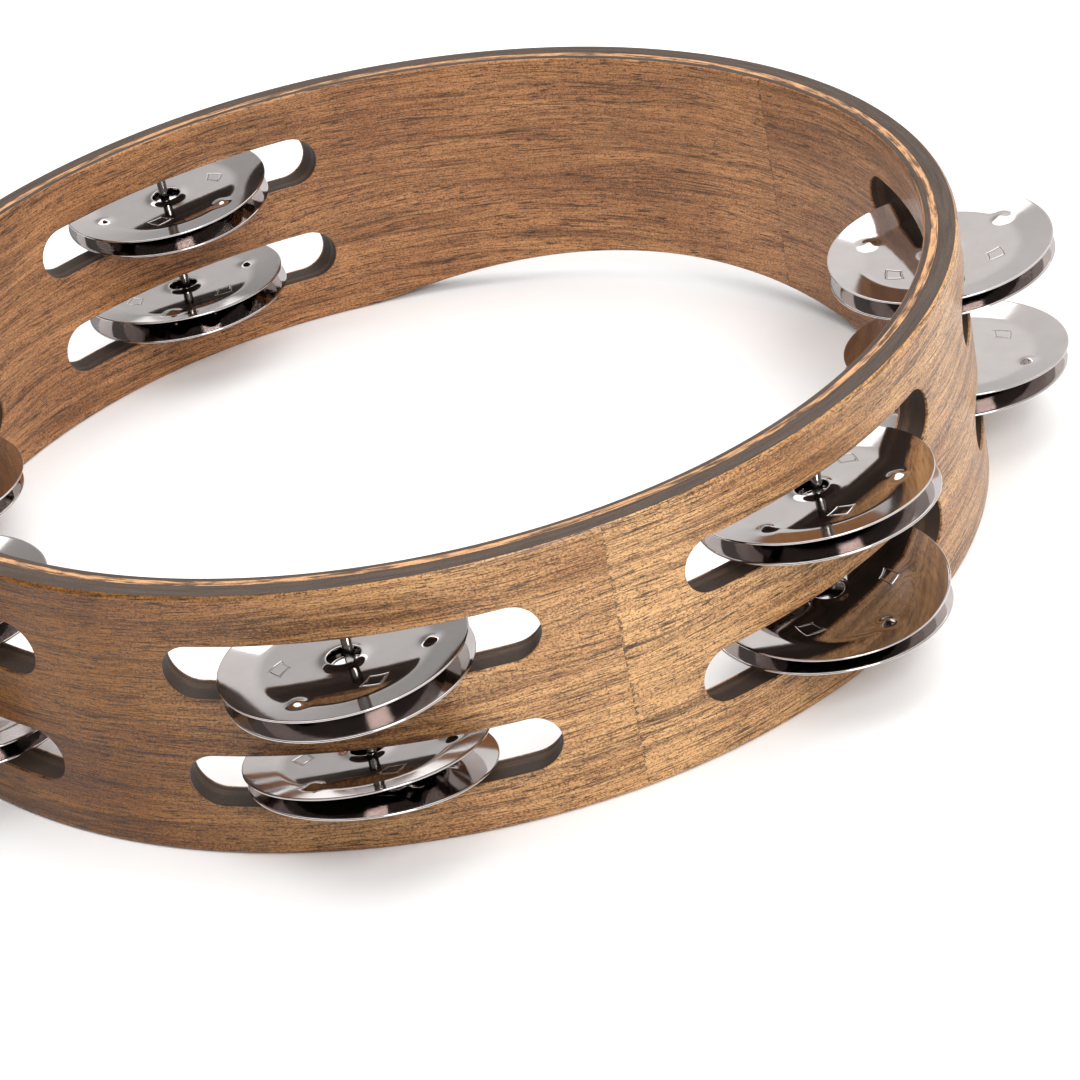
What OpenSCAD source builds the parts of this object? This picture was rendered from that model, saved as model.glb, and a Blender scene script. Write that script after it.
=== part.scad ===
// Headless double-row tambourine: a laminated wooden hoop with a hand grip,
// six steel pins and twelve pairs of steel jingles.
// Origin: centre of the hoop on its flat bottom rim. +Z up, +Y towards the grip.

/* [Hoop] */
// Outer diameter of the hoop
hoop_d = 254; // [240:1:280]
// Height of the hoop from rim to rim
hoop_h = 61.7; // [60:0.1:70]
// Rounding of the two outer rim corners
outer_round = 1; // [0.7:0.05:1.5]
// Rounding of the two inner rim corners
inner_round = 0.8; // [0.6:0.05:1.1]

/* [Plies, from the outside in] */
// Thickness of the outer veneer
outer_veneer_t = 0.6; // [0.4:0.05:0.65]
// Thickness of the outer core ply, the thickest one
outer_core_t = 3.75; // [3:0.05:4.5]
// Thickness of the pale middle ply
middle_t = 1.65; // [1:0.05:2]
// Thickness of the inner core ply
inner_core_t = 1.15; // [0.8:0.05:1.6]
// Thickness of the inner veneer
inner_veneer_t = 0.45; // [0.3:0.05:0.55]

/* [Jingle slots] */
// Length of a slot, end to end, along its chord
slot_l = 76; // [70:1:80]
// Height of a slot, which is also the diameter of its round ends
slot_h = 12.6; // [12:0.1:14]
// Height between the middles of the two rows
row_pitch = 26; // [24:0.5:28]
// Angle between neighbouring stations
station_pitch = 48.9; // [47:0.1:49]

/* [Hand grip] */
// Height of the shallow arch in the bottom rim
grip_h = 8.6; // [6:0.1:9]
// Radius of the middle of the arch
grip_r = 280; // [260:5:300]
// Radius of the two feet of the arch
grip_foot_r = 60; // [50:5:70]

/* [Pins] */
// Diameter of a pin
pin_d = 2.3; // [2:0.1:2.6]
// Height of the blind end of a pin's hole
pin_top = 56; // [54:0.5:58]
// How far a pin's lower end lies inside the bottom rim
pin_recess = 0.5; // [0.2:0.1:1]

/* [Jingles] */
// Diameter of a jingle
jingle_d = 50.8; // [48:0.2:52]
// Thickness of the sheet
sheet_t = 0.5; // [0.4:0.05:0.6]
// Depth from the rim to the underside of the floor
bowl_depth = 2.1; // [1.8:0.05:2.2]
// Diameter of the flat floor
floor_d = 33; // [31:0.5:34]
// Inner diameter of the straight flange
flange_d = 37.2; // [36:0.2:39]
// Diameter of the middle hole
jingle_hole_d = 7; // [6.6:0.1:8]
// Gap between the two jingles of a pair where they come closest
pair_gap = 0.3; // [0.2:0.05:0.5]

/* [Hidden] */
STATIONS = [1, 2, 3, 4, 5, 6];
ROWS = ["lower", "upper"];
SIDES = ["bottom", "top"];

$fn = 96;
eps = 0.01;              // overlap that keeps cutters clear of flush faces
cut_reach = 20;          // length of a slot cutter, well over the wall
pin_hole_clearance = 0.02;
arch_steps = 36;         // flats along the arch
foot_crease = 0.15;      // depth by which the arch's feet cross the rim

hoop_r = hoop_d / 2;
veneer_r = hoop_r - outer_veneer_t;
outer_core_r = veneer_r - outer_core_t;
middle_r = outer_core_r - middle_t;
inner_core_r = middle_r - inner_core_t;
bore_r = inner_core_r - inner_veneer_t;
wall_mid_r = (hoop_r + bore_r) / 2;
grip_angle = 90;
grip_gap = 360 - 5 * station_pitch;   // angle between the two stations beside the grip

// How the two jingles of each pair lie at rest. Each row is
// [lift of the pair from the slot's middle, top jingle, bottom jingle], and a jingle is
// [shift outwards, shift to the right, lean up on its outer side, lean up on its right side],
// in mm and degrees, seen from outside the hoop with higher station numbers to the right.
REST = [
    // station 1
    [[0.5, [0.5, 0.5, -3, 2], [0.5, 0, -2, 0]], [-0.5, [0, -0.5, 1, -2], [0.5, -0.5, 2, -1]]],
    // station 2
    [[-0.5, [-0.5, 0, 3, 1], [0, 0.5, 1, 2]], [0, [0.5, 0.5, -2, -2], [0.5, 0, -2, 0]]],
    // station 3
    [[0.5, [0, 0.5, 4, -2], [0, 0, 3, -1]], [-0.5, [0.5, 0, 2, 2], [0, -0.5, 1, 1]]],
    // station 4
    [[1.3, [-1.7, -1.1, 10.2, 2.1], [-1.7, -0.5, 10.5, -2]], [-0.5, [0.5, -1, 1.5, 3], [1, -0.5, 1, 2.5]]],
    // station 5
    [[0.5, [-1, -0.5, -5, 2.5], [-1, -0.5, 0, -1]], [-0.5, [-1, -0.5, 4, -0.5], [0, -0.5, 5, 0]]],
    // station 6
    [[0, [0.5, 0, -3, -2], [0, 0, -1, -1]], [0, [0, 0.5, 2, 2], [0, 0.5, 3, 1]]],
];

// The arch: the middle arc and the two foot arcs meet at arch_meet and end at arch_reach
arch_sum_r = grip_r + grip_foot_r;
arch_reach = sqrt(pow(arch_sum_r, 2) - pow(arch_sum_r - grip_h - foot_crease, 2));
arch_meet = arch_reach * grip_r / arch_sum_r;
function arch_z(x) = abs(x) < arch_meet
    ? grip_h - grip_r + sqrt(grip_r * grip_r - x * x)
    : grip_foot_r - foot_crease - sqrt(pow(grip_foot_r, 2) - pow(arch_reach - abs(x), 2));

function station_angle(s) = grip_angle + grip_gap / 2 + (s - 1) * station_pitch;
function row_index(row) = row == "upper" ? 1 : 0;
function row_z(row) = hoop_h / 2 + (row_index(row) - 0.5) * row_pitch;
function jingle_name(s, row, side) = str("jingle_", s, "_", row, "_", side);
function pair_rest(s, row) = REST[s - 1][row_index(row)];
function jingle_rest(s, row, side) = pair_rest(s, row)[side == "top" ? 1 : 2];
// Half the distance between the two floors at the pin: two leaning floors meet at their edge
function half_gap(s, row) =
    let (top = pair_rest(s, row)[1], bottom = pair_rest(s, row)[2],
         lean = norm([top[2] - bottom[2], top[3] - bottom[3]]))
    (pair_gap / cos(top[2]) + floor_d / 2 * tan(lean)) / 2;

// Cross-section of the whole wall, with its four corners rounded
module wall_section() {
    union() {
        translate([bore_r, inner_round]) square([hoop_r - bore_r, hoop_h - inner_round - outer_round]);
        translate([bore_r + inner_round, 0]) square([hoop_r - bore_r - inner_round - outer_round, hoop_h]);
        translate([hoop_r - outer_round - eps, outer_round])
            square([outer_round + eps, hoop_h - 2 * outer_round]);
        translate([bore_r, inner_round]) square([inner_round + eps, hoop_h - 2 * inner_round]);
        for (z = [outer_round, hoop_h - outer_round])
            translate([hoop_r - outer_round, z]) circle(outer_round);
        for (z = [inner_round, hoop_h - inner_round])
            translate([bore_r + inner_round, z]) circle(inner_round);
    }
}

// Straight-sided slot with round ends, cut along the radius at angle 0
module slot_cutter() {
    translate([wall_mid_r, 0, 0]) rotate([90, 0, 90])
        linear_extrude(cut_reach, center = true) {
            square([slot_l - slot_h, slot_h], center = true);
            for (x = [-1, 1] * (slot_l - slot_h) / 2) translate([x, 0]) circle(slot_h / 2);
        }
}

// Shallow arch with a round middle and round feet, cut along Y through the grip
module grip_cutter() {
    translate([0, wall_mid_r + cut_reach, 0]) rotate([90, 0, 0])
        linear_extrude(cut_reach + hoop_r / 2)
            polygon(concat(
                [[-arch_reach, -1]],
                [for (i = [0:arch_steps]) let (x = arch_reach * (2 * i / arch_steps - 1)) [x, arch_z(x)]],
                [[arch_reach, -1]]));
}

// One ply of the hoop between two radii, with its slots, pin holes and arch
module ply(inner_r, outer_r) {
    difference() {
        rotate_extrude() intersection() {
            wall_section();
            translate([inner_r, -1]) square([outer_r - inner_r, hoop_h + 2]);
        }
        for (s = STATIONS) rotate(station_angle(s)) {
            for (row = ROWS) translate([0, 0, row_z(row)]) slot_cutter();
            translate([wall_mid_r, 0, -1]) cylinder(d = pin_d + 2 * pin_hole_clearance, h = pin_top + 1);
        }
        grip_cutter();
    }
}

module outer_veneer() { color("peru") ply(veneer_r, hoop_r); }
module outer_core_ply() { color("dimgray") ply(outer_core_r, veneer_r); }
module middle_ply() { color("sandybrown") ply(middle_r, outer_core_r); }
module inner_core_ply() { color("dimgray") ply(inner_core_r, middle_r); }
module inner_veneer() { color("sienna") ply(bore_r, inner_core_r); }

// Headless steel pin that both pairs of a station hang on
module pin(s) {
    color("gray") rotate(station_angle(s))
        translate([wall_mid_r, 0, pin_recess]) cylinder(d = pin_d, h = pin_top - pin_recess);
}

// Dished disc, its bowl open upwards and standing on its flat floor; the flange rises to the rim
module jingle_disc() {
    floor_r = floor_d / 2;
    flange_r = flange_d / 2;
    flange_slope = (bowl_depth - sheet_t) / (jingle_d / 2 - (floor_r + flange_r) / 2);
    flange_z = flange_slope * (flange_r - floor_r) / 2;
    rotate_extrude() polygon([
        [jingle_hole_d / 2, 0], [floor_r, 0],
        [flange_r, flange_z], [jingle_d / 2, bowl_depth - sheet_t],
        [jingle_d / 2, bowl_depth], [flange_r, flange_z + sheet_t],
        [floor_r, sheet_t], [jingle_hole_d / 2, sheet_t],
    ]);
}

// One jingle of a pair: the top one is open upwards, the bottom one downwards
module jingle(s, row, side) {
    rest = jingle_rest(s, row, side);
    up = side == "top" ? 1 : -1;
    z = row_z(row) + pair_rest(s, row)[0] + up * half_gap(s, row);
    color("silver") rotate(station_angle(s)) translate([wall_mid_r + rest[0], rest[1], z])
        rotate([rest[3], -rest[2], 0]) mirror([0, 0, up > 0 ? 0 : 1]) jingle_disc();
}

outer_veneer();
outer_core_ply();
middle_ply();
inner_core_ply();
inner_veneer();
for (s = STATIONS)
    pin(s);
for (s = STATIONS) for (row = ROWS) for (side = SIDES)
    jingle(s, row, side);
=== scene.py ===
"""Looks of a headless double-row tambourine: stained plywood hoop, steel pins and dished steel jingles.

Lengths are millimetres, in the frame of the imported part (origin on the bottom rim, +Z up, +Y towards the
hand grip), and become metres when a mesh is made. The studio and the relief of a surface are in metres.
"""
import math

import bmesh
import bpy
import numpy as np
from mathutils import Matrix, Vector


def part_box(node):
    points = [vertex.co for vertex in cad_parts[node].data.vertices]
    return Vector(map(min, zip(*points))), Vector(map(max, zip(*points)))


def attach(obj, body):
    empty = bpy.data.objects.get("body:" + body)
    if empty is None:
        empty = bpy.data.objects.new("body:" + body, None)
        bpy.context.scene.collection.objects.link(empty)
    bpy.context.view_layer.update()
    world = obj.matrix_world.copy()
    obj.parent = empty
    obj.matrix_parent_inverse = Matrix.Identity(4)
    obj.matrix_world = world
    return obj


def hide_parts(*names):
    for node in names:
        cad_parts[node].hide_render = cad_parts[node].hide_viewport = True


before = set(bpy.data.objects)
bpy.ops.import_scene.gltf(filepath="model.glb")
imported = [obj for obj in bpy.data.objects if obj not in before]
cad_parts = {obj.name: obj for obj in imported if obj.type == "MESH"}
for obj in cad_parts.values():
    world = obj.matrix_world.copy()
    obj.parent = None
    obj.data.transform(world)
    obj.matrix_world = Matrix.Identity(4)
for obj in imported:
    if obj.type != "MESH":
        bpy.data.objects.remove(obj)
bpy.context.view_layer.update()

MM = 0.001
STATIONS = range(1, 7)
ROWS = ("lower", "upper")
SIDES = ("bottom", "top")
CREASE_ANGLE = 35.0        # edges sharper than this many degrees stay crisp


def add_object(name, data):
    """A new object of the scene that shows data."""
    made = bpy.data.objects.new(name, data)
    bpy.context.scene.collection.objects.link(made)
    return made


# ---------------------------------------------------------------- sizes read from the frame

def box_mm(node):
    """Lowest and highest corner of a CAD node, in millimetres."""
    lo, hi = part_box(node)
    return lo / MM, hi / MM


HOOP_R = box_mm("outer_veneer")[1].x
VENEER_R = box_mm("outer_core_ply")[1].x
OUTER_CORE_R = box_mm("middle_ply")[1].x
MIDDLE_R = box_mm("inner_core_ply")[1].x
INNER_CORE_R = box_mm("inner_veneer")[1].x
INNER_VENEER_T = 0.45      # stated, because no node's box reaches only to the bore
BORE_R = INNER_CORE_R - INNER_VENEER_T
HOOP_H = box_mm("outer_core_ply")[1].z


def pin_middle(station):
    lo, hi = box_mm(f"pin_{station}")
    return (lo + hi) / 2


def station_angle(station):
    """Angle of a station's pin about the hoop's axis, in degrees."""
    middle = pin_middle(station)
    return math.degrees(math.atan2(middle.y, middle.x)) % 360


STATION_PITCH = (station_angle(2) - station_angle(1)) % 360
GRIP_ANGLE = 90.0
GRIP_GAP = 360 - 5 * STATION_PITCH
GRIP_HALF = (GRIP_GAP - STATION_PITCH) / 2    # half the angle between the two sectors beside the grip

# ---------------------------------------------------------------- sizes of the hoop's shape

SLOT_L = 76.0
SLOT_H = 12.6
ROW_PITCH = 26.0
OUTER_ROUND = 1.0
INNER_ROUND = 0.8
ARCH_H = 8.6
ARCH_R = 280.0
ARCH_FOOT_R = 60.0
ARCH_CREASE = 0.15
SEAM_ANGLE = 318.8         # where the outer veneer's two ends meet
INNER_SEAM_ANGLE = 70.0    # the same for the inner veneer
PIN_HOLE_R = 1.3
PIN_HOLE_DEPTH = 0.6       # how far the bottom rim shows a pin's hole below the pin's end

# The mesh of a ply is a patchwork in (angle, height): a rectangle of quads round each slot, bands between
PATCH_HALF = 21.0          # half the angle of the rectangle round a slot
PATCH_COLS = 52            # quads along its long side
PATCH_ROWS = 16            # quads up its short side
CORNER_COLS = 4            # quads of the long side that belong to the slot's round ends
MARGIN_COLS = 3            # columns between a rectangle and the end of its sector
GRIP_COLS = 60
PATCH_Z = (3.5, HOOP_H / 2, HOOP_H - 3.5)    # heights between the rectangles
HOLD = 0.2                 # distance of the loop that keeps an edge crisp
GRIP_BLEND = 8.0           # angle over which the grip's rows spread upwards
GRIP_RISE = 45.0           # height up to which they spread


def arch_z(x, y):
    """Height of the arch in the bottom rim over the point (x, y)."""
    total = ARCH_R + ARCH_FOOT_R
    reach = math.sqrt(total ** 2 - (total - ARCH_H - ARCH_CREASE) ** 2)
    x = np.abs(x)
    middle = ARCH_H - ARCH_R + np.sqrt(np.maximum(ARCH_R ** 2 - x ** 2, 0))
    foot = ARCH_FOOT_R - ARCH_CREASE - np.sqrt(
        np.maximum(ARCH_FOOT_R ** 2 - (reach - x) ** 2, 0))
    z = np.where(x < reach * ARCH_R / total, middle, foot)
    return np.where((x < reach) & (y > 0), np.maximum(z, 0), 0)


def on_cylinder(radius, angle, z):
    """Points at an angle in degrees and a height on a cylinder."""
    a = np.radians(angle)
    return np.stack([radius * np.cos(a), radius * np.sin(a), z + 0 * a], axis=-1)


def warped(radius, angle, z, drop):
    """A point of the plain sheet, its lowest rows lifted over the arch and its edges drawn in by drop."""
    a = np.radians(angle)
    low = arch_z(radius * np.cos(a), radius * np.sin(a)) + drop
    beside = np.abs((angle - GRIP_ANGLE + 180) % 360 - 180)
    inside = np.clip((GRIP_HALF - beside) / GRIP_BLEND, 0, 1)
    top_of_warp = PATCH_Z[0] + inside * (GRIP_RISE - PATCH_Z[0])
    lifted = np.where(z < top_of_warp, low + z * (1 - low / top_of_warp), z)
    edge = np.clip((z - PATCH_Z[2]) / (HOOP_H - PATCH_Z[2]), 0, 1)
    return on_cylinder(radius, angle, lifted - drop * edge)


def row_z(row):
    """Height of the middle of the slots of row 0 (lower) or 1 (upper)."""
    return HOOP_H / 2 + (row - 0.5) * ROW_PITCH


def slot_loop(grow):
    """Outline of a slot as (x, z) about its middle, anticlockwise from the left end of its lower side."""
    radius = SLOT_H / 2 + grow
    half = (SLOT_L - SLOT_H) / 2
    straight = PATCH_COLS - 2 * CORNER_COLS
    bend = PATCH_ROWS + 2 * CORNER_COLS
    run = np.linspace(-half, half, straight, endpoint=False)
    turn = np.radians(np.linspace(-90, 90, bend, endpoint=False))
    x = [run, half + radius * np.cos(turn), -run, -half - radius * np.cos(turn)]
    z = [0 * run - radius, radius * np.sin(turn), 0 * run + radius, -radius * np.sin(turn)]
    return np.concatenate(x), np.concatenate(z)


def patch_loop(z_low, z_high):
    """The rectangle round a slot as (angle, z), in step with slot_loop."""
    across = np.linspace(-PATCH_HALF, PATCH_HALF, PATCH_COLS, endpoint=False)
    up = np.linspace(z_low, z_high, PATCH_ROWS, endpoint=False)
    angle = np.concatenate([across, 0 * up + PATCH_HALF, -across, 0 * up - PATCH_HALF])
    z = np.concatenate([0 * across + z_low, up, 0 * across + z_high, z_high + z_low - up])
    return np.roll(angle, -CORNER_COLS), np.roll(z, -CORNER_COLS)


class Soup:
    """Quads collected grid by grid, joined where their corners meet."""

    def __init__(self):
        self.points, self.faces, self.count = [], [], 0

    def grid(self, rows, closed=False):
        """Adds a grid of points (row, column, xyz) as quads; closed joins the last column to the first."""
        rows = np.asarray(rows, float)
        n_rows, n_cols = rows.shape[:2]
        number = self.count + np.arange(n_rows * n_cols).reshape(n_rows, n_cols)
        right = np.roll(number, -1, axis=1)
        if not closed:
            number, right = number[:, :-1], right[:, :-1]
        quads = np.stack([number[:-1], right[:-1], right[1:], number[1:]], axis=-1)
        self.points.append(rows.reshape(-1, 3))
        self.faces.append(quads.reshape(-1, 4))
        self.count += n_rows * n_cols

    def mesh(self, name, sharp=CREASE_ANGLE, merge=0.002):
        """The mesh in metres, with corners closer than merge joined and normals outwards."""
        data = bpy.data.meshes.new(name)
        points = np.concatenate(self.points) * MM
        faces = np.concatenate(self.faces)
        data.from_pydata(points.tolist(), [], faces.tolist())
        shape = bmesh.new()
        shape.from_mesh(data)
        bmesh.ops.remove_doubles(shape, verts=shape.verts, dist=merge * MM)
        bmesh.ops.recalc_face_normals(shape, faces=shape.faces)
        shape.to_mesh(data)
        shape.free()
        data.shade_smooth()
        data.set_sharp_from_angle(angle=math.radians(sharp))
        return data


# ---------------------------------------------------------------- the plies of the hoop

def rim_drop(radius):
    """How far the rim lies below the hoop's full height at a radius, from the rounded corners."""
    out = np.clip((radius - (HOOP_R - OUTER_ROUND)) / OUTER_ROUND, 0, 1)
    inn = np.clip((BORE_R + INNER_ROUND - radius) / INNER_ROUND, 0, 1)
    return OUTER_ROUND * (1 - np.sqrt(1 - out ** 2)) + INNER_ROUND * (1 - np.sqrt(1 - inn ** 2))


def sheet_columns():
    """Angles of a sector's columns about its station: left of the rectangle, over it and right of it."""
    margin = np.linspace(PATCH_HALF, STATION_PITCH / 2, MARGIN_COLS + 1)
    patch = np.linspace(-PATCH_HALF, PATCH_HALF, PATCH_COLS + 1)
    return -margin[::-1], patch, margin


def grip_columns():
    """Angles of the columns over the grip."""
    return GRIP_ANGLE + np.linspace(-GRIP_HALF, GRIP_HALF, GRIP_COLS + 1)


def add_sheet(soup, radius, drop, grow, rings):
    """One cylindrical face of a ply with its slots: drop draws in the rims and grow widens the slots."""
    left, patch, right = sheet_columns()
    bottom = np.array([0, HOLD, PATCH_Z[0]])
    top = np.array([PATCH_Z[2], HOOP_H - HOLD, HOOP_H])
    sides = np.concatenate([np.linspace(PATCH_Z[0], PATCH_Z[1], PATCH_ROWS + 1),
                            np.linspace(PATCH_Z[1], PATCH_Z[2], PATCH_ROWS + 1)[1:]])
    every = np.concatenate([bottom, sides[1:], top[1:]])

    def band(angles, heights):
        a, z = np.meshgrid(angles, heights)
        soup.grid(warped(radius, a, z, drop))

    for station in STATIONS:
        middle = station_angle(station)
        band(middle + left, every)
        band(middle + right, every)
        band(middle + patch, bottom)
        band(middle + patch, top)
        for row in (0, 1):
            slot_x, slot_z = slot_loop(grow)
            slot_a = np.degrees(np.arcsin(slot_x / radius))
            slot_z = slot_z + row_z(row)
            patch_a, patch_z = patch_loop(PATCH_Z[row], PATCH_Z[row + 1])
            soup.grid([on_cylinder(radius, middle + slot_a + t * (patch_a - slot_a),
                                   slot_z + t * (patch_z - slot_z)) for t in rings], closed=True)
    band(grip_columns(), every)


def ring_angles():
    """Angles of all columns once round the hoop."""
    sector = np.concatenate([columns[:-1] for columns in sheet_columns()])
    return np.concatenate([grip_columns()[:-1]] + [station_angle(station) + sector for station in STATIONS])


def ply(name, inner_r, outer_r, edge_ease, slot_ease, rings, steps=3):
    """One ply of the hoop. edge_ease and slot_ease are (inner, outer) rounding of its rims and slot edges."""
    soup = Soup()
    t = np.linspace(0, 1, steps + 1)
    depth = outer_r - inner_r

    def profile(ease):
        """(radius, draw-in) from the outer face to the inner one, rounded at both ends."""
        inn, out = ease
        turn = np.radians(90 * t)
        outer = [(outer_r - out * (1 - math.cos(a)), out * (1 - math.sin(a))) for a in turn]
        inner = [(inner_r + inn * (1 - math.cos(a)), inn * (1 - math.sin(a))) for a in turn[::-1]]
        straight = np.linspace(outer_r - out, inner_r + inn, 5)[1:-1] if depth > 1 else []
        return outer + [(r, 0.0) for r in straight] + inner

    rim = [(r, d + float(rim_drop(r))) for r, d in profile(edge_ease)]
    slot = profile(slot_ease)
    for radius, index in ((outer_r, 0), (inner_r, -1)):
        add_sheet(soup, radius, rim[index][1], slot[index][1], rings)
    around = ring_angles()
    soup.grid([warped(r, around, np.full(around.shape, HOOP_H), d) for r, d in rim], closed=True)
    soup.grid([warped(r, around, np.zeros(around.shape), d) for r, d in rim], closed=True)
    for station in STATIONS:
        for row in (0, 1):
            loops = []
            for r, grow in slot:
                x, z = slot_loop(grow)
                loops.append(on_cylinder(r, station_angle(station) + np.degrees(np.arcsin(x / r)),
                                         z + row_z(row)))
            soup.grid(loops, closed=True)
    return add_object(name, soup.mesh(name))


def drill_pin_ends(piece):
    """Cuts the shallow ends of the pins' holes into the bottom rim of a ply."""
    shape = bmesh.new()
    for station in STATIONS:
        middle = pin_middle(station)
        at = Matrix.Translation(Vector((middle.x, middle.y, 0)) * MM)
        bmesh.ops.create_cone(shape, cap_ends=True, segments=32, radius1=PIN_HOLE_R * MM,
                              radius2=PIN_HOLE_R * MM, depth=2 * PIN_HOLE_DEPTH * MM, matrix=at)
    data = bpy.data.meshes.new("pin_ends")
    shape.to_mesh(data)
    shape.free()
    drill = add_object("pin_ends", data)
    cut = piece.modifiers.new("pin_ends", "BOOLEAN")
    cut.operation, cut.solver, cut.object = "DIFFERENCE", "EXACT", drill
    ready = piece.evaluated_get(bpy.context.evaluated_depsgraph_get())
    piece.data = bpy.data.meshes.new_from_object(ready)
    piece.modifiers.clear()
    piece.data.set_sharp_from_angle(angle=math.radians(CREASE_ANGLE))
    bpy.data.objects.remove(drill)


# ---------------------------------------------------------------- turned pieces

JINGLE_SEGMENTS = 150
SHEET_T = 0.5
HOLE_R = 3.5
HOLE_EASE = 0.15           # rounding of the hole's edges
FLOOR_R = 16.5             # flat floor of the bowl
FLARE_R = 18.6             # where the bowl's curve ends and its straight flange begins
RIM_R = 25.4
BOWL_DEPTH = 2.1           # from the rim to the underside of the floor
COLLAR_W = 1.3             # lip round the hole, pressed into the bowl
COLLAR_H = 0.55
DIMPLE_R = 17.3            # how far the bumps lie from the jingle's middle
DIMPLE_W = 1.5
DIMPLE_H = 0.9
PIN_CHAMFER = 0.3


def dish_height(r):
    """Height of the sheet over its floor at a radius: a flat floor, a curve, then a straight flange."""
    slope = (BOWL_DEPTH - SHEET_T) / (RIM_R - (FLOOR_R + FLARE_R) / 2)
    curve = np.clip(r - FLOOR_R, 0, FLARE_R - FLOOR_R)
    return slope * (curve ** 2 / (2 * (FLARE_R - FLOOR_R)) + np.clip(r - FLARE_R, 0, None))


def collar(r):
    """Height of the pressed lip round the hole."""
    return COLLAR_H * np.exp(-((r - HOLE_R) / COLLAR_W) ** 2)


def dimples(r, angle):
    """Height of the three small bumps punched into the bowl's wall, at 0, 120 and 240 degrees."""
    height = 0 * r
    for turn in (0, 120, 240):
        along = np.radians((angle - turn + 180) % 360 - 180) * r
        far = np.hypot(r - DIMPLE_R, along) / DIMPLE_W
        height = height + DIMPLE_H * np.exp(-far ** 2)
    return height


def jingle_piece(name, place):
    """A dished disc with its own coordinates in a UV map. It is made with its bowl open upwards, at the
    origin, and place carries it to its seat."""
    inner = HOLE_R + np.array([0, 0.03, 0.12, 0.35, 0.7, 1.1, 1.5, 2.0, 2.7, 4.0, 6.5, 9.0])
    fine = np.arange(13.6, 21.5, 0.38)
    outer = RIM_R - np.array([2.8, 1.4, 0.6, 0.25, 0.19, 0.13, 0.08, 0.04, 0.01, 0])
    r = np.concatenate([inner, fine, outer])
    ease = HOLE_EASE * np.clip(1 - (r - HOLE_R) / HOLE_EASE, 0, 1) ** 2
    bend = np.clip(1 - (RIM_R - r) / (SHEET_T / 2), 0, 1)
    ease = ease + SHEET_T / 2 * (1 - np.sqrt(1 - 0.98 * bend ** 2))
    angles = np.linspace(0, 360, JINGLE_SEGMENTS, endpoint=False)
    rr, aa = np.meshgrid(r, angles, indexing="ij")
    middle = SHEET_T / 2 + dish_height(rr) + collar(rr) + dimples(rr, aa)
    half = SHEET_T / 2 - ease[:, None]
    x, y = rr * np.cos(np.radians(aa)), rr * np.sin(np.radians(aa))
    top, low = np.stack([x, y, middle + half], axis=-1), np.stack([x, y, middle - half], axis=-1)
    soup = Soup()
    soup.grid(top, closed=True)
    soup.grid(low, closed=True)
    soup.grid([top[0], low[0]], closed=True)
    soup.grid([top[-1], low[-1]], closed=True)
    data = soup.mesh(name, sharp=75.0, merge=0.001)
    own = data.uv_layers.new(name="disc")
    for corner in data.loops:
        co = data.vertices[corner.vertex_index].co
        own.data[corner.index].uv = (co.x / MM, co.y / MM)
    seat = place.translation
    data.transform(Matrix.Translation(-seat) @ place)
    piece = add_object(name, data)
    piece.location = seat
    return piece


def pin_mesh(radius, length):
    """A straight pin standing on its lower end, both ends chamfered."""
    end = [(0.001, 0), (radius - PIN_CHAMFER, 0), (radius - 0.05, PIN_CHAMFER * 0.8),
           (radius, PIN_CHAMFER * 1.3)]
    outline = end + [(radius, z) for z in np.linspace(2, length - 2, 12)]
    outline += [(r, length - z) for r, z in end[::-1]]
    angles = np.radians(np.linspace(0, 360, 40, endpoint=False))
    rows = [np.stack([r * np.cos(angles), r * np.sin(angles), 0 * angles + z], axis=-1) for r, z in outline]
    soup = Soup()
    soup.grid(rows, closed=True)
    return soup.mesh("pin_rod", sharp=40.0)


def node_points(node):
    """The vertices of a CAD node, in millimetres."""
    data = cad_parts[node].data
    co = np.empty(len(data.vertices) * 3, np.float32)
    data.vertices.foreach_get("co", co)
    return co.reshape(-1, 3).astype(float) / MM


def disc_place(node, up):
    """Where a CAD disc lies: the matrix that carries a disc made at the origin onto it."""
    points = node_points(node)
    middle = (points.min(0) + points.max(0)) / 2
    for _ in range(3):
        far = np.linalg.norm(points - middle, axis=1)
        rim = points[far > far.max() - 0.6]
        base = rim.mean(0)
        across, along, axis = np.linalg.svd(rim - base)[2]
        u, v = (rim - base) @ across, (rim - base) @ along
        fit = np.linalg.lstsq(np.stack([2 * u, 2 * v, 1 + 0 * u], axis=-1), u ** 2 + v ** 2, rcond=None)[0]
        middle = base + fit[0] * across + fit[1] * along
    if axis[2] * up < 0:
        axis = -axis
    floor = ((points - middle) @ axis).min()
    origin = middle + floor * axis
    z = Vector(axis)
    x = Vector((1, 0, 0))
    x = (x - z * x.dot(z)).normalized()
    turn = Matrix((x, z.cross(x), z)).transposed().to_4x4()
    return Matrix.Translation(Vector(origin) * MM) @ turn


# ---------------------------------------------------------------- shader helpers

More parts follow.
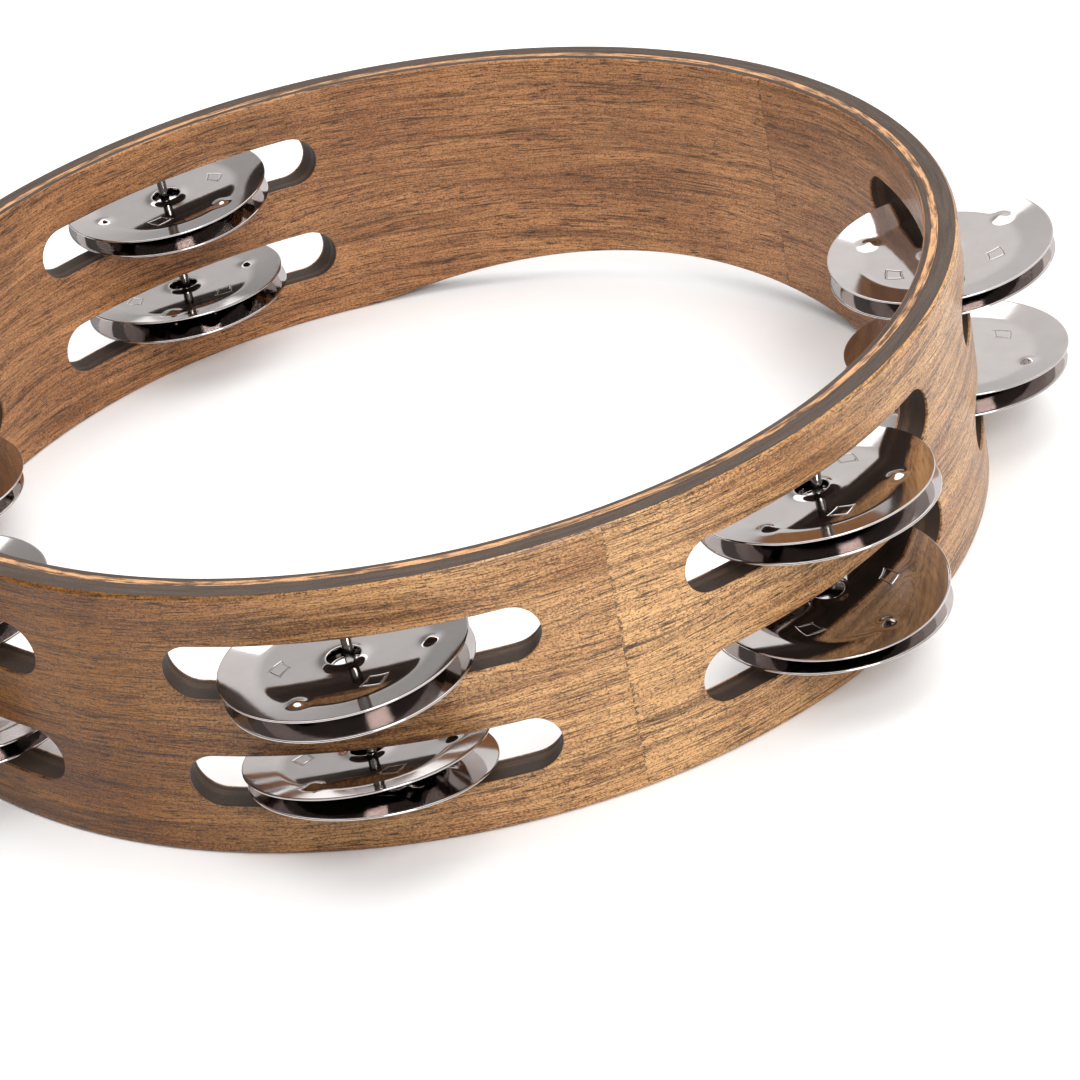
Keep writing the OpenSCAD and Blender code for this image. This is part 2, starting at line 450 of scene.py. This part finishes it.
class Shader:
    """A material of nodes around one Principled BSDF."""

    def __init__(self, name):
        self.material = bpy.data.materials.new(name)
        self.material.use_nodes = True
        self.tree = self.material.node_tree
        self.tree.nodes.clear()
        output = self.tree.nodes.new("ShaderNodeOutputMaterial")
        self.bsdf = self.tree.nodes.new("ShaderNodeBsdfPrincipled")
        self.tree.links.new(self.bsdf.outputs[0], output.inputs["Surface"])

    def feed(self, socket, value):
        """Links another node's output to a socket, or sets the socket to a plain value."""
        if isinstance(value, bpy.types.NodeSocket):
            self.tree.links.new(value, socket)
        else:
            socket.default_value = value

    def node(self, kind, inputs, output=0, **settings):
        made = self.tree.nodes.new("ShaderNode" + kind)
        for key, value in settings.items():
            setattr(made, key, value)
        for key, value in inputs.items():
            self.feed(made.inputs[key], value)
        return made.outputs[output]

    def math(self, operation, *values):
        return self.node("Math", dict(enumerate(values)), operation=operation)

    def vector(self, operation, *values):
        return self.node("VectorMath", dict(enumerate(values)), operation=operation)

    def split(self, vector):
        """The three parts of a vector."""
        made = self.tree.nodes.new("ShaderNodeSeparateXYZ")
        self.feed(made.inputs[0], vector)
        return made.outputs

    def hypot(self, x, y):
        return self.math("SQRT", self.math("ADD", self.math("MULTIPLY", x, x), self.math("MULTIPLY", y, y)))

    def noise(self, vector, size, detail=2.0, rough=0.5, seed=(0, 0, 0)):
        """Noise whose blobs are about size (x, y, z) in the units of vector."""
        scale = tuple(1 / s for s in size)
        scaled = self.vector("MULTIPLY_ADD", vector, scale, seed)
        return self.node("TexNoise", {"Vector": scaled, "Scale": 1.0, "Detail": detail, "Roughness": rough})

    def ramp(self, value, low, high, to_low=0.0, to_high=1.0):
        return self.node("MapRange", {"Value": value, "From Min": low, "From Max": high,
                                      "To Min": to_low, "To Max": to_high}, clamp=True)

    def mix(self, factor, a, b, blend="MIX"):
        made = self.tree.nodes.new("ShaderNodeMix")
        made.data_type = "RGBA"
        made.blend_type = blend
        self.feed(made.inputs[0], factor)
        self.feed(made.inputs[6], a)
        self.feed(made.inputs[7], b)
        return made.outputs[2]

    def surface(self, **sockets):
        for key, value in sockets.items():
            self.feed(self.bsdf.inputs[key.replace("_", " ")], value)

    def bump(self, height, distance, strength):
        return self.node("Bump", {"Height": height, "Distance": distance, "Strength": strength})


def rgb(r, g, b):
    """A colour from its 0 to 255 display values."""
    def linear(c):
        c /= 255
        return c / 12.92 if c <= 0.04045 else ((c + 0.055) / 1.055) ** 2.4
    return (linear(r), linear(g), linear(b), 1.0)


def hoop_coordinates(shader, seam=SEAM_ANGLE):
    """(along the sheet, height, radius) in millimetres, cut open at the angle of the seam."""
    place = shader.node("TexCoord", {}, output="Object")
    turned = shader.node("VectorRotate", {"Vector": place, "Angle": math.radians(180 - seam)},
                         rotation_type="Z_AXIS")
    x, y, z = shader.split(turned)
    along = shader.math("MULTIPLY", shader.math("ARCTAN2", y, x), HOOP_R)
    return shader.node("CombineXYZ", {0: along, 1: shader.math("MULTIPLY", z, 1 / MM),
                                      2: shader.math("MULTIPLY", shader.hypot(x, y), 1 / MM)})


SHEET_END = math.pi * HOOP_R         # how far a sheet's two ends lie from its middle
GRAIN_WANDER = 9.0                   # how far the grain drifts up and down
RAGGED_END = 4.0                     # depth of the ragged edge of a sheet's start
GOLDEN_START = (5.0, 24.0)           # lengths past the seam over which the golden stretch fades out
JOINT_LINE = (0.25, 0.55)            # the same for the dark line of the joint
PAINTED_SHADE_STARTS = (30.0, 105.0)    # lengths before the seam where the painted shade is none and full
PAINTED_SHADE_ENDS = (430.0, 330.0)     # the same at the far end of that stretch


def face_veneer(name, seed, light, mid, dark, pore, shine, seam, shade_amount):
    """Stained veneer, its grain along the hoop: streaks, mottle, dashed lines, pores and ringlets.

    The last argument sets how much painted shade shows: a darker tint over a long stretch before the seam.
    """
    s = Shader(name)
    place = hoop_coordinates(s, seam)
    wander = s.noise(place, (90, 22, 40), detail=2, seed=(seed, 3, 5))
    lift = s.math("MULTIPLY", s.math("SUBTRACT", wander, 0.5), GRAIN_WANDER)
    lift = s.node("CombineXYZ", {0: 0.0, 1: lift, 2: 0.0})
    grain = s.vector("ADD", place, lift)
    streaks = s.noise(grain, (70, 3.2, 60), detail=4, rough=0.65, seed=(seed, 0, 0))
    clouds = s.noise(place, (38, 20, 60), detail=2, seed=(0, seed, 0))
    tone = s.math("ADD", s.math("MULTIPLY", streaks, 0.55), s.math("MULTIPLY", clouds, 0.45))

    # the golden start of the sheet, just past its ragged end
    along = s.split(place)[0]
    ragged = s.noise(place, (3.0, 1.4, 60), detail=2, seed=(3, 8, 1))
    past = s.math("ADD", along, SHEET_END)
    past = s.math("ADD", past, s.math("MULTIPLY", s.math("SUBTRACT", ragged, 0.5), RAGGED_END))
    tone = s.math("ADD", tone, s.ramp(past, *GOLDEN_START, 0.30, 0.0))
    colour = s.mix(s.ramp(tone, 0.38, 0.60), mid, light)
    bands = s.noise(grain, (75, 2.2, 60), detail=3, rough=0.55, seed=(9, seed, 4))
    colour = s.mix(s.ramp(bands, 0.49, 0.68, 0.0, 0.7), colour, dark)
    threads = s.noise(grain, (14, 0.5, 60), detail=3, rough=0.6, seed=(2, 5, seed))
    colour = s.mix(s.ramp(threads, 0.51, 0.72, 0.0, 0.5), colour, dark)
    colour = s.mix(s.ramp(threads, 0.50, 0.34, 0.0, 0.25), colour, light)

    # mottle: specks a little longer than high, darker and lighter than the wood round them
    speckle = s.noise(grain, (0.55, 0.36, 0.8), detail=2, rough=0.8, seed=(seed, seed, 1))
    colour = s.mix(s.ramp(speckle, 0.51, 0.64, 0.0, 0.8), colour, dark)
    colour = s.mix(s.ramp(speckle, 0.49, 0.34, 0.0, 0.45), colour, light)

    # dashed dark grain lines and short pores
    lines = s.noise(grain, (110, 3.4, 60), detail=2.5, rough=0.55, seed=(4, seed, 2))
    thin = s.ramp(s.math("PINGPONG", lines, 0.05), 0.0, 0.012, 1.0, 0.0)
    broken = s.ramp(s.noise(grain, (12, 0.9, 14), detail=3, rough=0.7, seed=(7, 1, seed)), 0.40, 0.48)
    where = s.ramp(s.noise(place, (45, 9, 60), detail=1, seed=(6, 6, seed)), 0.34, 0.50)
    pores = s.math("MULTIPLY", thin, s.math("MULTIPLY", broken, where))
    short = s.noise(grain, (4.2, 0.25, 11), detail=2, rough=0.6, seed=(2, 9, seed))
    pores = s.math("MAXIMUM", pores, s.ramp(short, 0.595, 0.64))
    joint = s.math("MULTIPLY", s.ramp(past, *JOINT_LINE, 1.0, 0.0), s.ramp(speckle, 0.40, 0.50, 0.2, 0.8))
    colour = s.mix(s.math("MULTIPLY", s.math("MAXIMUM", pores, joint), 0.9), colour, pore)

    # rows of ringlets
    ring_place = s.vector("MULTIPLY", grain, (1 / 2.1, 1 / 1.8, 0.01))
    ring = s.node("TexVoronoi", {"Vector": ring_place, "Scale": 1.0, "Randomness": 0.35}, output="Distance")
    ringlet = s.ramp(s.math("ABSOLUTE", s.math("SUBTRACT", ring, 0.33)), 0.0, 0.09, 1.0, 0.0)
    rows = s.ramp(s.noise(grain, (60, 3.4, 60), detail=1, seed=(11, 4, seed)), 0.55, 0.61)
    colour = s.mix(s.math("MULTIPLY", s.math("MULTIPLY", ringlet, rows), 0.5), colour, dark)

    fibre = s.noise(grain, (9.0, 0.35, 9.0), detail=3, rough=0.65, seed=(1, 2, seed))
    colour = s.mix(s.ramp(fibre, 0.45, 0.72, 0.0, 0.45), colour, dark)

    # painted shade: a darker tint over a long stretch before the seam, standing in for the side that the
    # light falls away from
    before = s.math("SUBTRACT", SHEET_END, along)
    painted_shade = s.math("MULTIPLY", s.ramp(before, *PAINTED_SHADE_STARTS),
                    s.ramp(before, *PAINTED_SHADE_ENDS, 0.0, shade_amount))
    colour = s.mix(painted_shade, colour, PAINTED_SHADE_TINT, blend="MULTIPLY")

    height = s.math("SUBTRACT", s.math("MULTIPLY", fibre, 0.35), pores)
    s.surface(Base_Color=colour, Roughness=s.ramp(fibre, 0.3, 0.8, shine, shine + 0.16),
              Normal=s.bump(height, 0.00012, 0.55), Coat_Weight=0.2, Coat_Roughness=0.25,
              Specular_IOR_Level=0.35, Sheen_Weight=0.25, Sheen_Roughness=0.25, Sheen_Tint=SHEEN)
    return s.material


def ply_edge(name, seed, light, dark, slot_shade, streak, contrast, rough):
    """A ply's cut edge: worn, streaked patches on the rims; inside a slot a darker colour all over, which is
    painted shade.
    """
    s = Shader(name)
    place = hoop_coordinates(s)
    fibre = s.noise(place, (16, 0.35, 0.22), detail=3, rough=0.65, seed=(seed, 0, 0))
    patches = s.noise(place, (streak, 5, 0.8), detail=3, rough=0.6, seed=(0, seed, 0))
    tone = s.math("ADD", s.math("MULTIPLY", fibre, 0.45), s.math("MULTIPLY", patches, 0.55))
    from_middle = s.math("ABSOLUTE", s.math("SUBTRACT", s.split(place)[1], HOOP_H / 2))
    on_rim = s.ramp(from_middle, HOOP_H / 2 - 3.0, HOOP_H / 2 - 2.0)
    # painted shade: inside the slots the light colour gives way to a darker one
    rim_or_slot_shade = s.mix(on_rim, slot_shade, light)
    colour = s.mix(s.ramp(tone, 0.5 - contrast, 0.5 + contrast), dark, rim_or_slot_shade)
    grit = s.noise(place, (0.5, 0.35, 0.35), detail=2, rough=0.7, seed=(3, 3, seed))
    colour = s.mix(s.ramp(grit, 0.5, 0.75, 0.0, 0.5), colour, dark)
    s.surface(Base_Color=colour, Roughness=s.ramp(grit, 0.3, 0.7, rough, rough + 0.15),
              Normal=s.bump(s.math("ADD", fibre, grit), 0.00010, 0.5), Specular_IOR_Level=0.25)
    return s.material


LOZENGE_R = 13.2           # how far the stamped lozenges lie from the jingle's middle
LOZENGE_ACROSS = 3.3       # their reach sideways
LOZENGE_OUT = 2.3          # and outwards


def bright_steel(name, base, rough, stamped):
    """Polished steel with faint lapping marks; stamped adds three small outlined lozenges to a disc."""
    s = Shader(name)
    if stamped:
        place = s.node("UVMap", {}, uv_map="disc")
    else:
        place = s.vector("MULTIPLY", s.node("TexCoord", {}, output="Object"), (1 / MM,) * 3)
    cloud = s.noise(place, (9, 9, 9), detail=3, rough=0.6)
    dust = s.noise(place, (0.5, 0.5, 0.5), detail=2, rough=0.7, seed=(5, 1, 2))
    tint = s.mix(s.ramp(cloud, 0.35, 0.7), base, tuple(c * 0.93 for c in base[:3]) + (1.0,))
    tint = s.mix(s.ramp(dust, 0.68, 0.8, 0.0, 0.35), tint, rgb(120, 116, 112))
    height = s.math("MULTIPLY", cloud, 0.12)
    if stamped:
        x, y, _ = s.split(place)
        angle = s.math("ARCTAN2", y, x)
        third = math.radians(120)
        folded = s.math("SUBTRACT", s.math("FLOORED_MODULO", angle, third), third / 2)
        across = s.math("ABSOLUTE", s.math("MULTIPLY", folded, LOZENGE_R))
        out = s.math("ABSOLUTE", s.math("SUBTRACT", s.hypot(x, y), LOZENGE_R))
        lozenge = s.math("ADD", s.math("MULTIPLY", across, 1 / LOZENGE_ACROSS),
                         s.math("MULTIPLY", out, 1 / LOZENGE_OUT))
        groove = s.ramp(s.math("ABSOLUTE", s.math("SUBTRACT", lozenge, 0.9)), 0.05, 0.15, 1.0, 0.0)
        height = s.math("SUBTRACT", height, groove)
    s.surface(Base_Color=tint, Metallic=1.0, Roughness=s.ramp(cloud, 0.3, 0.7, rough, rough + 0.04),
              Normal=s.bump(height, 0.00014, 0.7))
    return s.material


# (light, middle, dark) stain of the two veneers; (light on the rims, dark, painted shade that takes the light
# colour's place in the slots) of the plies
OUTER_STAIN = rgb(222, 172, 116), rgb(160, 108, 62), rgb(82, 48, 26)
INNER_STAIN = rgb(200, 142, 90), rgb(146, 94, 54), rgb(84, 50, 27)
DARK_PLY = rgb(88, 74, 64), rgb(58, 46, 38), rgb(64, 50, 41)
PALE_PLY = rgb(214, 160, 112), rgb(84, 62, 46), rgb(62, 49, 40)
# colour multiplied in as painted shade over a long stretch of the outer veneer before the seam
PAINTED_SHADE_TINT = rgb(172, 144, 78)
PORE = rgb(30, 18, 12)
SHEEN = rgb(255, 236, 228)
MATERIALS = {
    "outer_veneer": face_veneer("stained_outer_veneer", 1.7, *OUTER_STAIN, PORE, 0.4, SEAM_ANGLE, 1.0),
    "inner_veneer": face_veneer("stained_inner_veneer", 8.3, *INNER_STAIN, PORE, 0.42, INNER_SEAM_ANGLE, 0.0),
    "dark_ply": ply_edge("dark_core_ply", 2.0, *DARK_PLY, 14, 0.16, 0.55),
    "pale_ply": ply_edge("golden_middle_ply", 5.0, *PALE_PLY, 6, 0.07, 0.5),
    "pin_steel": bright_steel("pin_steel", rgb(168, 164, 158), 0.16, False),
    "jingle_steel": bright_steel("jingle_steel", rgb(196, 190, 188), 0.05, True),
}


def dress(piece, slot, body, node):
    """Gives a finished piece its material and its body, and hides the CAD node that it stands for."""
    piece.data.materials.clear()
    piece.data.materials.append(MATERIALS[slot])
    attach(piece, body)
    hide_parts(node)


# ---------------------------------------------------------------- assembly

FACE_RINGS = (0.0, 0.015, 0.2, 0.5, 0.75, 1.0)
HIDDEN_RINGS = (0.0, 0.4, 1.0)
PLIES = (
    # node, inner radius, outer radius, easing of rims and slots as (inner, outer), rings, material
    ("outer_veneer", VENEER_R, HOOP_R, (0.04, 0.05), (0.03, 0.22), FACE_RINGS, "outer_veneer"),
    ("outer_core_ply", OUTER_CORE_R, VENEER_R, (0.06, 0.04), (0.03, 0.03), HIDDEN_RINGS, "dark_ply"),
    ("middle_ply", MIDDLE_R, OUTER_CORE_R, (0.05, 0.05), (0.03, 0.03), HIDDEN_RINGS, "pale_ply"),
    ("inner_core_ply", INNER_CORE_R, MIDDLE_R, (0.04, 0.05), (0.03, 0.03), HIDDEN_RINGS, "dark_ply"),
    ("inner_veneer", BORE_R, INNER_CORE_R, (0.05, 0.04), (0.15, 0.03), FACE_RINGS, "inner_veneer"),
)
for node, inner_r, outer_r, edge_ease, slot_ease, rings, slot in PLIES:
    sheet = ply("ply_" + node, inner_r, outer_r, edge_ease, slot_ease, rings)
    if node in ("outer_core_ply", "middle_ply"):
        drill_pin_ends(sheet)
    dress(sheet, slot, "hoop", node)

for station in STATIONS:
    low, high = box_mm(f"pin_{station}")
    rod = add_object(f"rod_{station}", pin_mesh((high.x - low.x) / 2, high.z - low.z))
    middle = pin_middle(station)
    rod.location = Vector((middle.x, middle.y, low.z)) * MM
    dress(rod, "pin_steel", "hoop", f"pin_{station}")

# Which way the dimples of each jingle point, in degrees about its axis: a loose disc turns freely
TURN = {"jingle_4_upper_top": 28, "jingle_4_lower_top": 23, "jingle_5_upper_top": 22,
        "jingle_5_lower_top": -23}
for station in STATIONS:
    for row in ROWS:
        for side in SIDES:
            node = f"jingle_{station}_{row}_{side}"
            turn = TURN.get(node, 37 * station + 61 * ROWS.index(row) + 17 * SIDES.index(side))
            place = disc_place(node, 1 if side == "top" else -1)
            piece = jingle_piece("sheet_" + node, place @ Matrix.Rotation(math.radians(turn), 4, "Z"))
            bpy.context.view_layer.update()
            dress(piece, "jingle_steel", node, node)


# ---------------------------------------------------------------- studio

CAMERA_PLACE = Vector((433.9, -630.7, 431.3))
CAMERA_HEADING = 122.8     # degrees from +X, towards +Y
CAMERA_DIP = 29.91
CAMERA_ROLL = -11.16
LENS = 127.8

# Metres from here on
FLOOR_HALF = 6.0
LIGHTS = (
    # name, place, side of its square, watts
    ("key", (1.0, -0.7, 0.95), 0.6, 14),
    ("top", (-0.1, 0.2, 1.4), 2.4, 32),
)
LIT_POINT = Vector((0, 0, 0.03))
BRIGHT_SIDE = Vector((0.0, 0.85, 0.5)).normalized()
# The surroundings brighten towards that side: strength over the cosine of the angle to it
SURROUNDINGS = {"From Min": 0.6, "From Max": 1.0, "To Min": 0.32, "To Max": 1.15}


def camera():
    """The camera, turned by its heading, dip and roll."""
    heading, dip, roll = (math.radians(a) for a in (CAMERA_HEADING, CAMERA_DIP, CAMERA_ROLL))
    look = Vector((math.cos(dip) * math.cos(heading), math.cos(dip) * math.sin(heading), -math.sin(dip)))
    level = look.cross(Vector((0, 0, 1))).normalized()
    upright = level.cross(look)
    right = level * math.cos(roll) + upright * math.sin(roll)
    up = right.cross(look)
    data = bpy.data.cameras.new("camera")
    data.lens = LENS
    data.clip_start = 0.01
    eye = add_object("camera", data)
    turn = Matrix((right, up, -look)).transposed().to_4x4()
    eye.matrix_world = Matrix.Translation(CAMERA_PLACE * MM) @ turn
    bpy.context.scene.camera = eye


def area_light(name, place, side, power):
    data = bpy.data.lights.new(name, "AREA")
    data.shape = "SQUARE"
    data.size = side
    data.energy = power
    lamp = add_object(name, data)
    lamp.location = place
    lamp.rotation_euler = (LIT_POINT - Vector(place)).to_track_quat("-Z", "Y").to_euler()


def studio():
    """A plain white floor under soft light, in grey surroundings that brighten towards one side."""
    floor = Shader("studio_floor")
    floor.surface(Base_Color=rgb(252, 252, 252), Roughness=0.9)
    data = bpy.data.meshes.new("studio_floor")
    corners = [(x * FLOOR_HALF, y * FLOOR_HALF, 0.0) for x, y in ((-1, -1), (1, -1), (1, 1), (-1, 1))]
    data.from_pydata(corners, [], [(0, 1, 2, 3)])
    data.materials.append(floor.material)
    add_object("studio_floor", data)
    world = bpy.data.worlds.new("studio")
    bpy.context.scene.world = world
    world.use_nodes = True
    tree = world.node_tree
    way = tree.nodes.new("ShaderNodeTexCoord").outputs["Generated"]
    bearing = tree.nodes.new("ShaderNodeVectorMath")
    bearing.operation = "DOT_PRODUCT"
    bearing.inputs[1].default_value = (*BRIGHT_SIDE,)
    tree.links.new(way, bearing.inputs[0])
    fall = tree.nodes.new("ShaderNodeMapRange")
    fall.interpolation_type = "SMOOTHSTEP"
    for key, value in SURROUNDINGS.items():
        fall.inputs[key].default_value = value
    tree.links.new(bearing.outputs["Value"], fall.inputs["Value"])
    back = tree.nodes["Background"]
    back.inputs["Color"].default_value = (1.0, 0.99, 0.98, 1)
    tree.links.new(fall.outputs[0], back.inputs["Strength"])
    for light in LIGHTS:
        area_light(*light)
    bpy.context.scene.view_settings.view_transform = "Standard"


camera()
studio()
